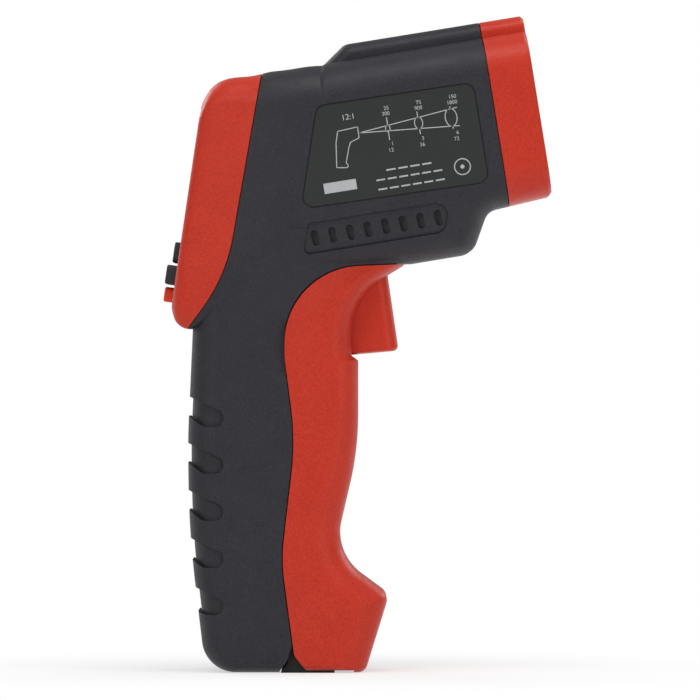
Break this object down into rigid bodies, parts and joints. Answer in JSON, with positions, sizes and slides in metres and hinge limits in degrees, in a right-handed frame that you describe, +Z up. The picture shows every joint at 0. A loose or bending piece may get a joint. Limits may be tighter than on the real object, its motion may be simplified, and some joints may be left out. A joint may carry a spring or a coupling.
{
  "type": "infrared thermometer",
  "caption": "Pistol-grip infrared thermometer with a round lens hood and laser in the nose, a trigger, a rear display with keys, and a battery cover hinged at the foot of the grip.",
  "frame": {"origin": "middle of the flat end of the grip, on which it stands", "axes": "+Z up along the grip, +X forward where the nose aims, +Y to its left side"},
  "size_m": [0.1035, 0.0494, 0.1749],
  "materials": {
    "black_shell": "fine spark-eroded grain",
    "red_cover": "satin moulded",
    "inner_black": "matt",
    "label": "smooth printed film",
    "window": "clear polished",
    "lcd": "polished",
    "backlight": "smooth",
    "key_dark": "matt",
    "key_red": "matt",
    "mat": "matt",
    "board": "solder mask",
    "component_black": "matt",
    "steel": "bright",
    "brass": "turned",
    "lens_glass": "polished",
    "barrel_alloy": "black anodised",
    "battery_case": "satin",
    "foam": "open cell",
    "wire": "smooth",
    "screw_black": "black oxide"
  },
  "bodies": {
    "housing": {"left_shell": "black_shell", "right_shell": "black_shell", "left_label": "label", "right_label": "label", "housing_screws": "screw_black", "rear_bezel": "red_cover", "lcd_window": "window", "lcd_module": "lcd", "lcd_backlight": "backlight", "keypad_mat": "mat", "main_board": "board", "buzzer": "component_black", "nose_ring": "red_cover", "front_insert": "inner_black", "lens_barrel": "barrel_alloy", "lens_spacer": "barrel_alloy", "ir_lens": "lens_glass", "lens_retainer": "barrel_alloy", "thermopile_sensor": "steel", "sensor_board": "board", "laser_module": "brass", "laser_window": "window", "chassis": "inner_black", "battery": "battery_case", "battery_pad": "foam", "battery_snap": "component_black", "cover_hinge_pin": "steel", "trigger_pin": "steel", "trigger_spring": "steel", "trigger_switch": "component_black", "battery_leads": "wire", "switch_leads": "wire", "laser_leads": "wire", "sensor_leads": "wire"},
    "cover": {"battery_cover": "red_cover"},
    "trigger_lever": {"trigger": "red_cover"},
    "plunger": {"switch_plunger": "key_red"},
    "mode_key": {"key_mode": "key_dark"},
    "left_key": {"key_left": "key_dark"},
    "right_key": {"key_right": "key_dark"},
    "light_key": {"key_light": "key_red"}
  },
  "joints": [
    {"name": "trigger_pull", "type": "hinge", "parent": "housing", "child": "trigger_lever", "pos_m": [0.019, 0, 0.1145], "axis": [0, 1, 0], "range_deg": [0, 5.5], "stiffness_Nm_per_rad": 0.4, "springref_deg": -5.73, "deforming": ["trigger_spring"]},
    {"name": "plunger_press", "type": "slide", "parent": "housing", "child": "plunger", "axis": [-1, 0, 0], "range_m": [0, 0.0016]},
    {"name": "cover_swing", "type": "hinge", "parent": "housing", "child": "cover", "pos_m": [0.0142, 0, 0.0046], "axis": [0, 1, 0], "range_deg": [0, 55]},
    {"name": "key_mode_press", "type": "slide", "parent": "housing", "child": "mode_key", "axis": [0.9893, 0, -0.1461], "range_m": [0, 0.0008], "stiffness_N_per_m": 1900, "springref_m": -0.0003},
    {"name": "key_left_press", "type": "slide", "parent": "housing", "child": "left_key", "axis": [0.9893, 0, -0.1461], "range_m": [0, 0.0008], "stiffness_N_per_m": 1900, "springref_m": -0.0003},
    {"name": "key_right_press", "type": "slide", "parent": "housing", "child": "right_key", "axis": [0.9893, 0, -0.1461], "range_m": [0, 0.0008], "stiffness_N_per_m": 1900, "springref_m": -0.0003},
    {"name": "key_light_press", "type": "slide", "parent": "housing", "child": "light_key", "axis": [0.9893, 0, -0.1461], "range_m": [0, 0.0008], "stiffness_N_per_m": 1900, "springref_m": -0.0003}
  ],
  "couplings": [
    {"joint": "plunger_press", "follows": "trigger_pull", "m_per_rad": 0.0165}
  ]
}
